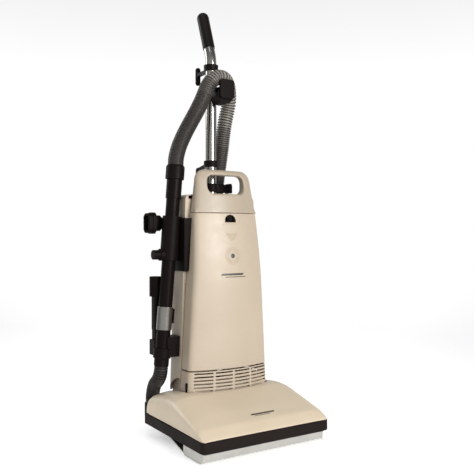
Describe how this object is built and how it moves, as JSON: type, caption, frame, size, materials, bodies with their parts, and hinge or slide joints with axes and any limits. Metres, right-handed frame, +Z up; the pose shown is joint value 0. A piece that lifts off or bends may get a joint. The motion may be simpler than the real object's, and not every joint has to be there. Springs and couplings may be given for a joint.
{
  "type": "upright vacuum cleaner",
  "caption": "Wide-base upright vacuum cleaner with a tilting bag body, hinged bag door, spinning brush roll, wrapped hose, lift-out wand and clip-on tools.",
  "frame": {"origin": "on the floor, under the middle of the object's box, in the machine's plane of symmetry", "axes": "+X to the machine's right seen from its front, +Y from the front bumper to the back, +Z up"},
  "size_m": [0.356, 0.344, 1.1029],
  "materials": {
    "cream_body": "satin moulded cream plastic",
    "cream_base": "satin moulded cream plastic, a shade darker",
    "black_plastic": "fine-grained black plastic",
    "wand_black": "smooth black plastic",
    "black_rubber": "matt soft black",
    "grip_black": "matt soft black",
    "belt_rubber": "matt, ground faces",
    "tyre_grey": "matt",
    "grey_plastic": "moulded grey",
    "zinc_plate": "bright plate",
    "steel": "plain steel",
    "chrome": "polished plate",
    "roll_wood": "turned and sealed",
    "bristle": "nylon filaments",
    "carbon": "pressed carbon",
    "bag_paper": "paper and fleece",
    "filter_foam": "open foam",
    "dark_mark": "satin",
    "mark_grey": "printed and embossed",
    "hose_brown": "ribbed flexible plastic",
    "hose_black": "ribbed flexible plastic"
  },
  "bodies": {
    "base": {"hood": "cream_base", "base_mark": "dark_mark", "bumper": "black_rubber", "chassis": "black_plastic", "sole_plate": "zinc_plate", "suction_duct": "black_plastic", "hose_port": "black_plastic", "brush_bearings": "grey_plastic", "drive_belt": "belt_rubber", "wheel_axles": "steel", "pivot_bushes": "grey_plastic", "pedal_pin": "steel"},
    "pedal": {"release_pedal": "black_plastic"},
    "brush": {"brush_roll": "roll_wood", "brush_bristles": "bristle"},
    "wheel_left": {"rear_wheel_left": "tyre_grey"},
    "wheel_right": {"rear_wheel_right": "tyre_grey"},
    "roller_left": {"front_roller_left": "grey_plastic"},
    "roller_right": {"front_roller_right": "grey_plastic"},
    "upright": {"motor_drum": "cream_body", "motor_cover": "cream_body", "switch_pin": "steel", "rear_housing": "cream_body", "top_cap": "cream_body", "door_hinge_pins": "steel", "bag_dock": "black_plastic", "filter_bag": "bag_paper", "motor_filter": "filter_foam", "motor_can": "steel", "motor_bearings": "steel", "carbon_brushes": "carbon", "handle_tube": "chrome", "grip": "grip_black", "hose_hook": "black_plastic", "lower_cord_hook": "black_plastic", "cord_gland": "black_rubber", "hose_inlet": "black_plastic", "hose_clip": "black_plastic", "case_screws": "steel", "tool_caddy": "black_plastic", "port_bracket": "black_plastic", "wand_port": "black_plastic", "main_hose": "hose_brown", "short_hose": "hose_black"},
    "rotor": {"motor_rotor": "steel", "fan_wheel": "steel"},
    "switch": {"power_switch": "black_plastic"},
    "door": {"bag_door": "cream_body", "door_marks": "mark_grey", "latch_spring": "steel"},
    "latch": {"door_latch": "black_plastic"},
    "cord_hook": {"upper_cord_hook": "black_plastic"},
    "wand": {"wand_tube": "wand_black", "wand_sleeve": "chrome", "hose_cuff": "black_plastic"},
    "wand_latch": {"wand_button": "black_plastic"},
    "duster": {"dusting_brush": "black_plastic"},
    "crevice": {"crevice_tool": "wand_black"}
  },
  "joints": [
    {"name": "tilt", "type": "hinge", "parent": "base", "child": "upright", "pos_m": [0, 0.05, 0.084], "axis": [-1, 0, 0], "range_deg": [0, 65], "deforming": ["short_hose"]},
    {"name": "pedal_press", "type": "hinge", "parent": "base", "child": "pedal", "pos_m": [0.155, 0.108, 0.062], "axis": [-1, 0, 0], "range_deg": [0, 12], "stiffness_Nm_per_rad": 0.6, "springref_deg": -5.73},
    {"name": "brush_spin", "type": "hinge", "parent": "base", "child": "brush", "pos_m": [0, -0.107, 0.029], "axis": [1, 0, 0], "continuous": true},
    {"name": "wheel_left_spin", "type": "hinge", "parent": "base", "child": "wheel_left", "pos_m": [-0.124, 0.096, 0.024], "axis": [1, 0, 0], "continuous": true},
    {"name": "wheel_right_spin", "type": "hinge", "parent": "base", "child": "wheel_right", "pos_m": [0.124, 0.096, 0.024], "axis": [1, 0, 0], "continuous": true},
    {"name": "roller_left_spin", "type": "hinge", "parent": "base", "child": "roller_left", "pos_m": [-0.07, -0.05, 0.012], "axis": [1, 0, 0], "continuous": true},
    {"name": "roller_right_spin", "type": "hinge", "parent": "base", "child": "roller_right", "pos_m": [0.07, -0.05, 0.012], "axis": [1, 0, 0], "continuous": true},
    {"name": "rotor_spin", "type": "hinge", "parent": "upright", "child": "rotor", "pos_m": [0, 0.05, 0.084], "axis": [1, 0, 0], "continuous": true},
    {"name": "switch_rock", "type": "hinge", "parent": "upright", "child": "switch", "pos_m": [-0.1132, 0.016, 0.1285], "axis": [0, 1, 0], "range_deg": [0, 10]},
    {"name": "door_open", "type": "hinge", "parent": "upright", "child": "door", "pos_m": [0, -0.0137, 0.1724], "axis": [1, 0, 0], "range_deg": [0, 45]},
    {"name": "latch_slide", "type": "slide", "parent": "door", "child": "latch", "axis": [0, 0, -1], "range_m": [0, 0.005], "stiffness_N_per_m": 400, "springref_m": -0.002, "deforming": ["latch_spring"]},
    {"name": "cord_hook_swing", "type": "hinge", "parent": "upright", "child": "cord_hook", "pos_m": [0, 0.095, 0.934], "axis": [0, 0, 1], "range_deg": [0, 90]},
    {"name": "wand_lift", "type": "slide", "parent": "upright", "child": "wand", "axis": [0.0802, 0, 0.9968], "range_m": [0, 0.05], "deforming": ["main_hose"]},
    {"name": "wand_button_press", "type": "slide", "parent": "wand", "child": "wand_latch", "axis": [-0.9968, 0, 0.0802], "range_m": [0, 0.0015], "stiffness_N_per_m": 300, "springref_m": -0.001},
    {"name": "duster_off", "type": "slide", "parent": "upright", "child": "duster", "axis": [-1, 0, 0], "range_m": [0, 0.012]},
    {"name": "crevice_lift", "type": "slide", "parent": "upright", "child": "crevice", "axis": [0, 0, 1], "range_m": [0, 0.04]}
  ],
  "couplings": [
    {"joint": "brush_spin", "follows": "rotor_spin", "ratio": 0.64286}
  ]
}
